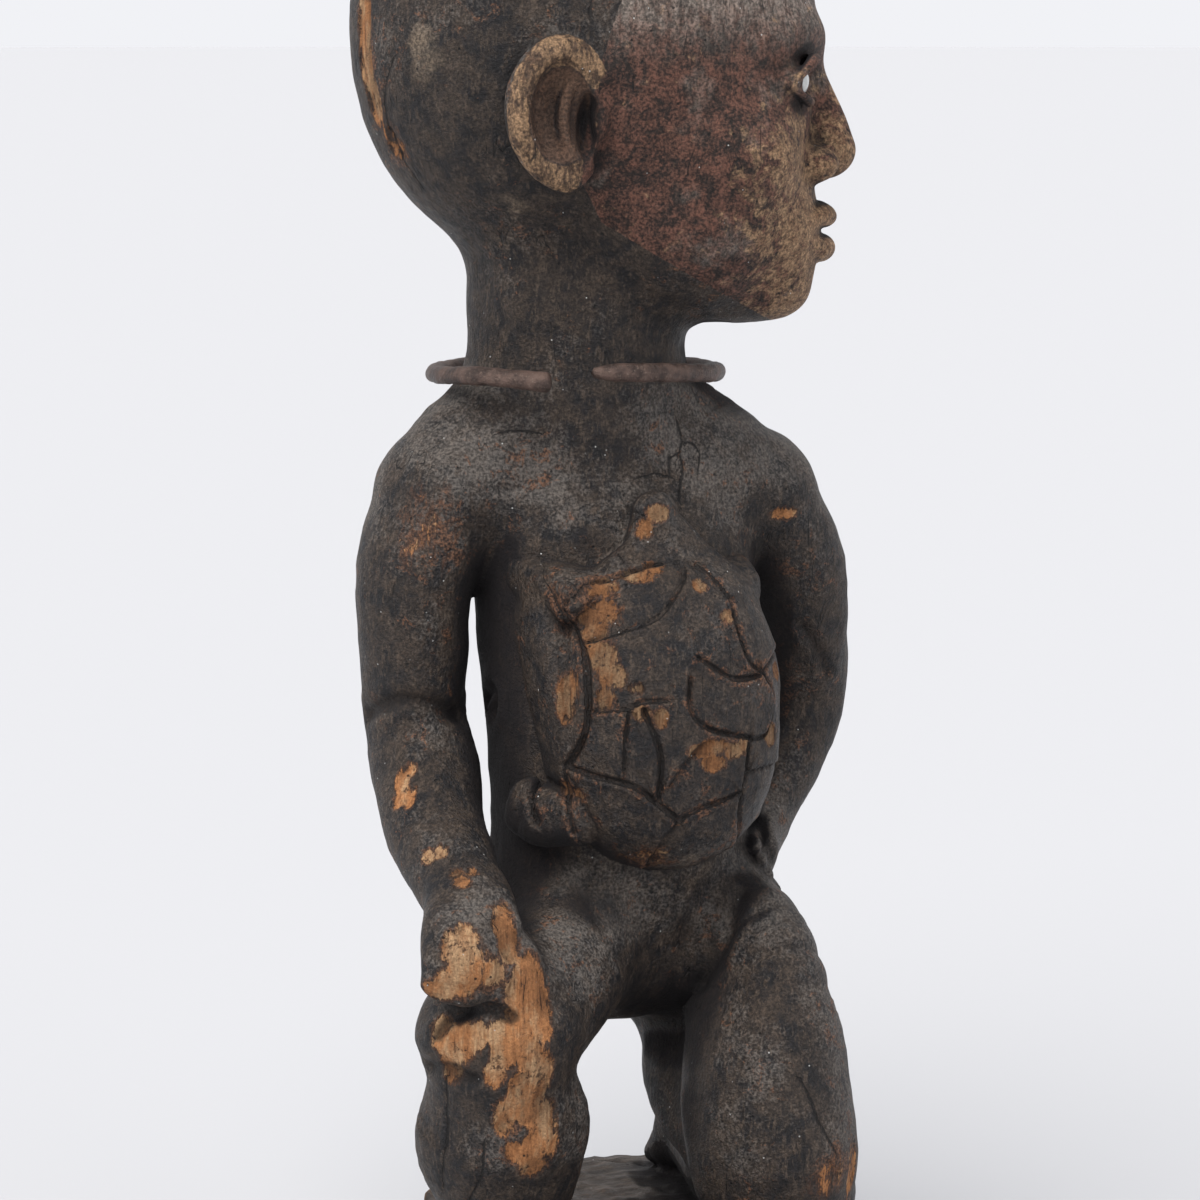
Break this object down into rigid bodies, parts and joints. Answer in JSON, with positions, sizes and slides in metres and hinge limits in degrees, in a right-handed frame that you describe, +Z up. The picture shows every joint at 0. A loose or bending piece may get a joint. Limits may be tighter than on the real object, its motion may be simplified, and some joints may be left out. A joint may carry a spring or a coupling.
{
  "type": "carved wooden figure",
  "caption": "Dark carved wooden figure kneeling on a low base, head turned to its left, with a tortoise on its belly, a loose metal neck ring and inlaid glass eyes.",
  "frame": {"origin": "middle of the object's box, on the flat underside of the base", "axes": "+Z up, the figure's body faces -Y and its own left side is +X"},
  "size_m": [0.1706, 0.1732, 0.4469],
  "materials": {
    "carved_wood": "dark hand-carved wood with dusty patina, worn patches of bare orange-tan wood and fine cracks",
    "ring_metal": "dull brown-red metal wire",
    "eye_glass": "milky grey-white glass"
  },
  "bodies": {
    "root": {"wooden_figure": "carved_wood", "neck_ring": "ring_metal", "right_eye_glass": "eye_glass", "left_eye_glass": "eye_glass"}
  },
  "joints": []
}
